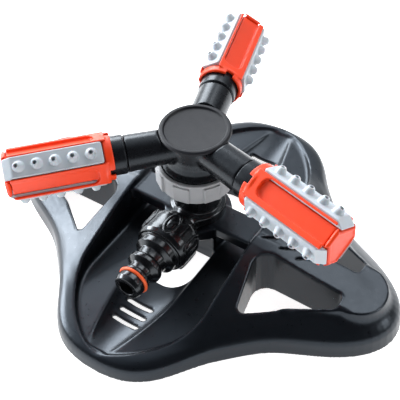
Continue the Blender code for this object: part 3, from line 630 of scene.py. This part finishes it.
SECTION = head_section()
POCKET_START, POCKET_HALF, POCKET_FLOOR, POCKET_OFFSET, POCKET_CORNER = 62.0, 5.9, 10.9, 0.9, 1.6
STRIP_BACK, STRIP_FACE = 10.5, 14.6
STRIP_SHAPE = rounded([(53.9, -6.1, 1.6), (53.9, 6.1, 1.6), (109.7, 6.1, 0.8), (109.7, -6.1, 0.8)], 5)
NUB_COUNT, NUB_START, NUB_PITCH = 5, 60.5, 10.0
NUB_FAN = 5.0                  # degrees each nub leans further out than the one before it
NUB = [(0.0, -1.2), (3.2, -1.2), (3.2, 0.0), (3.0, 0.9), (2.75, 1.8), (2.4, 2.7), (2.05, 3.35), (1.65, 3.75),
       (1.2, 3.8), (1.05, 3.5), (1.05, 0.5), (0.0, 0.5)]


def turned_axes(y, z, degrees):
    """(across, out) of a frame turned about X, with out towards that roll."""
    c, s = math.cos(math.radians(degrees)), math.sin(math.radians(degrees))
    return y * c + z * s, z * c - y * s


def head_field(x, y, z):
    radius = np.hypot(y, z)
    section = plan(y, z, SECTION)
    solid = smooth_max(section, np.abs(x - 79.0) - 27.5, 0.7)
    flange = tube(radius, x, 13.6, 48.5, 53.4, 0.9)
    solid = smooth_min(solid, flange, 0.8)
    for k in range(3):
        across, out = turned_axes(y, z, 120.0 * k + 60.0)
        across = across - POCKET_OFFSET
        reach = np.maximum(POCKET_START - x, 0.0)
        corner = np.hypot(reach, np.maximum(np.abs(across) - POCKET_CORNER, 0.0)) + POCKET_CORNER
        wide = np.where(x > POCKET_START, np.abs(across), corner)
        pocket = smooth_max(wide - POCKET_HALF, POCKET_FLOOR - out, 0.9)
        solid = cut(solid, pocket, 0.7)
        notch = block(x, across, out, (30.0, -3.3, 10.0), (51.4, 1.5, 30.0), 0.5)
        solid = cut(solid, notch, 0.5)
        across, out = turned_axes(y, z, 120.0 * k)
        feed = np.maximum(np.maximum(np.abs(across) - 1.2, 5.0 - out), np.abs(x - 81.5) - 19.5)
        solid = cut(solid, feed, 0.2)
    solid = cut(solid, tube(radius, x, 11.8, 40.0, 52.6, 0.4), 0.5)
    solid = cut(solid, tube(radius, x, 7.9, 50.0, 61.0, 0.4), 0.3)
    return cut(solid, tube(radius, x, 9.1, 60.0, 120.0, 0.4), 0.3)


def end_cap_field(x, y, z):
    radius = np.hypot(y, z)
    section = plan(y, z, SECTION)
    cap = smooth_max(smooth_max(section + 0.8, np.abs(x - 108.3) - 1.6, 2.2), 106.8 - x, 0.3)
    dish = smooth_max(section + 2.4, 109.0 - x, 1.0)
    cap = cut(cap, dish, 0.5)
    plug = tube(radius, x, 8.8, 102.0, 107.5, 0.6)
    cap = smooth_min(cap, plug, 0.4)
    return cut(cap, tube(radius, x, 7.1, 95.0, 107.3, 0.4), 0.4)


def strip_field(x, y, z):
    thick = np.abs(z - (STRIP_FACE + STRIP_BACK) / 2) - (STRIP_FACE - STRIP_BACK) / 2
    solid = smooth_max(plan(x, y, STRIP_SHAPE), thick, 0.7)
    chamfer = (x - 104.6) * 0.6 + (z - STRIP_FACE) * 0.8
    solid = smooth_max(solid, chamfer, 0.5)
    for k in range(NUB_COUNT):
        tilt = math.radians(NUB_FAN * k)
        dx, dz = x - (NUB_START + NUB_PITCH * k), z - STRIP_FACE
        up = dz * math.cos(tilt) + dx * math.sin(tilt)
        sideways = dx * math.cos(tilt) - dz * math.sin(tilt)
        nub = lathe(np.hypot(sideways, y), up, NUB)
        solid = smooth_min(solid, nub, 0.5)
    return smooth_max(solid, STRIP_BACK - z, 0.3)


def build_heads():
    head_mesh = netted("head_look", head_field, (47.6, -18.0, -18.0), (107.6, 18.0, 18.0), 0.45)
    cap_mesh = netted("end_cap_look", end_cap_field, (101.0, -18.0, -18.0), (110.8, 18.0, 18.0), 0.4)
    strip_mesh = netted("strip_look", strip_field, (53.0, -7.0, 9.8), (110.4, 7.0, 19.4), 0.3)
    for tag, (azimuth, roll) in enumerate(zip(ARM_AZIMUTHS, HEAD_ROLLS), start=1):
        place = arm_matrix(azimuth, roll)
        body = f"head_{tag}"
        add_piece(f"head_look_{tag}", head_mesh, ORANGE, body, f"head_body_{tag}", place)
        add_piece(f"end_cap_look_{tag}", cap_mesh, ORANGE, body, f"end_cap_{tag}", place)
        for letter, turn in zip("abc", (0.0, 120.0, 240.0)):
            add_piece(f"strip_look_{tag}_{letter}", strip_mesh, GREY, body, f"nozzle_strip_{tag}_{letter}",
                      arm_matrix(azimuth, roll, turn))


# ---------------------------------------------------------------- carried-over CAD nodes
FINISHES = {"thrust_washer": NATURAL, "spindle_bush": NATURAL, "spindle_seal": RUBBER,
            "inlet_washer": RUBBER, "filter_screen": STEEL, "riser_screw_1": STEEL,
            "riser_screw_2": STEEL, "head_seal_1": RUBBER, "head_seal_2": RUBBER,
            "head_seal_3": RUBBER}


def finish_cad_nodes():
    for name, material in FINISHES.items():
        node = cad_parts[name]
        node.data.materials.clear()
        node.data.materials.append(material)
        node.data.polygons.foreach_set("use_smooth", [True] * len(node.data.polygons))
        node.data.set_sharp_from_angle(angle=math.radians(SHARP_DEGREES))


# ---------------------------------------------------------------- studio
WHITE = (1.0, 1.0, 1.0)
COOL = (0.93, 0.965, 1.0)
FILL_SIDE = (-0.7, 0.5, 0.5)   # the sky's fill is brightest from this side
FLOOR_HALF = 3.0
# name, place, target, size, power and colour, in metres and watts
LIGHTS = (
    ("top_soft", (0.15, 0.75, 1.2), (0, 0, 0), (0.9, 0.5), 7.5, WHITE),
    ("left_soft", (-0.95, 0.62, 0.72), (-0.03, 0, 0.02), (0.8, 0.6), 21.0, COOL),
    ("side_soft", (-1.25, -0.2, 0.5), (-0.08, 0, 0.02), (0.7, 0.5), 26.0, COOL),
    ("right_soft", (1.2, 0.35, 0.7), (0, 0, 0.03), (0.4, 0.7), 7.0, WHITE),
    ("front_soft", (0.3, -1.2, 1.0), (0, 0, 0.03), (0.7, 0.4), 4.0, WHITE),
)


def area_light(name, place, target, size, power, color):
    data = bpy.data.lights.new(name, "AREA")
    data.shape = "RECTANGLE"
    data.size, data.size_y = size
    data.energy = power
    data.color = color
    lamp = bpy.data.objects.new(name, data)
    bpy.context.scene.collection.objects.link(lamp)
    lamp.location = place
    lamp.rotation_euler = (Vector(target) - Vector(place)).to_track_quat("-Z", "Y").to_euler()
    return lamp


def build_world():
    """A white backdrop for the camera, and a soft fill from one side for everything else."""
    world = bpy.data.worlds.new("studio")
    bpy.context.scene.world = world
    world.use_nodes = True
    tree = world.node_tree
    backdrop = tree.nodes["Background"]
    backdrop.inputs["Color"].default_value = (*WHITE, 1.0)
    backdrop.inputs["Strength"].default_value = 1.0
    fill = tree.nodes.new("ShaderNodeBackground")
    fill.inputs["Color"].default_value = (0.86, 0.93, 1.0, 1.0)
    direction = tree.nodes.new("ShaderNodeTexCoord")
    facing = tree.nodes.new("ShaderNodeVectorMath")
    facing.operation = "DOT_PRODUCT"
    facing.inputs[1].default_value = tuple(Vector(FILL_SIDE).normalized())
    tree.links.new(direction.outputs["Generated"], facing.inputs[0])
    level = tree.nodes.new("ShaderNodeMapRange")
    level.interpolation_type = "SMOOTHSTEP"
    for socket, value in (("From Min", 0.1), ("From Max", 1.0), ("To Min", 0.05), ("To Max", 1.3)):
        level.inputs[socket].default_value = value
    tree.links.new(facing.outputs["Value"], level.inputs["Value"])
    tree.links.new(level.outputs["Result"], fill.inputs["Strength"])
    seen = tree.nodes.new("ShaderNodeLightPath")
    mix = tree.nodes.new("ShaderNodeMixShader")
    tree.links.new(seen.outputs["Is Camera Ray"], mix.inputs[0])
    tree.links.new(fill.outputs[0], mix.inputs[1])
    tree.links.new(backdrop.outputs[0], mix.inputs[2])
    tree.links.new(mix.outputs[0], tree.nodes["World Output"].inputs["Surface"])


def build_floor():
    mesh = bpy.data.meshes.new("floor")
    corners = [(-FLOOR_HALF, -FLOOR_HALF, 0), (FLOOR_HALF, -FLOOR_HALF, 0), (FLOOR_HALF, FLOOR_HALF, 0),
               (-FLOOR_HALF, FLOOR_HALF, 0)]
    mesh.from_pydata(corners, [], [(0, 1, 2, 3)])
    floor = bpy.data.objects.new("floor", mesh)
    bpy.context.scene.collection.objects.link(floor)
    floor.location = (0.0, 0.0, -0.0002)
    pale = bpy.data.materials.new("floor_pale")
    pale.use_nodes = True
    shader = pale.node_tree.nodes["Principled BSDF"]
    shader.inputs["Base Color"].default_value = (0.86, 0.86, 0.86, 1.0)
    shader.inputs["Roughness"].default_value = 0.9
    shader.inputs["Specular IOR Level"].default_value = 0.0
    shader.inputs["Emission Color"].default_value = (*WHITE, 1.0)
    shader.inputs["Emission Strength"].default_value = 0.88
    mesh.materials.append(pale)


def build_studio():
    build_world()
    build_floor()
    lamps = {entry[0]: area_light(*entry) for entry in LIGHTS}
    lamps["front_soft"].visible_glossy = False


def build_camera():
    """The camera at the measured viewing angle, with colours shown as they are."""
    data = bpy.data.cameras.new("photo_view")
    data.sensor_width = 36.0
    data.lens = 80.9
    data.clip_start = 0.01
    camera = bpy.data.objects.new("photo_view", data)
    bpy.context.scene.collection.objects.link(camera)
    forward = Vector((-0.3899, 0.5556, -0.7344)).normalized()
    right = Vector((0.8347, 0.5500, -0.0271))
    right = (right - forward * right.dot(forward)).normalized()
    up = right.cross(forward)
    turn = Matrix((right, up, -forward)).transposed().to_4x4()
    camera.matrix_world = Matrix.Translation(Vector((0.2170, -0.3071, 0.4454))) @ turn
    bpy.context.scene.camera = camera
    bpy.context.scene.view_settings.view_transform = "Standard"


build_camera()
build_studio()
build_base()
build_inlet()
build_rotor()
build_heads()
finish_cad_nodes()

bpy.context.view_layer.update()
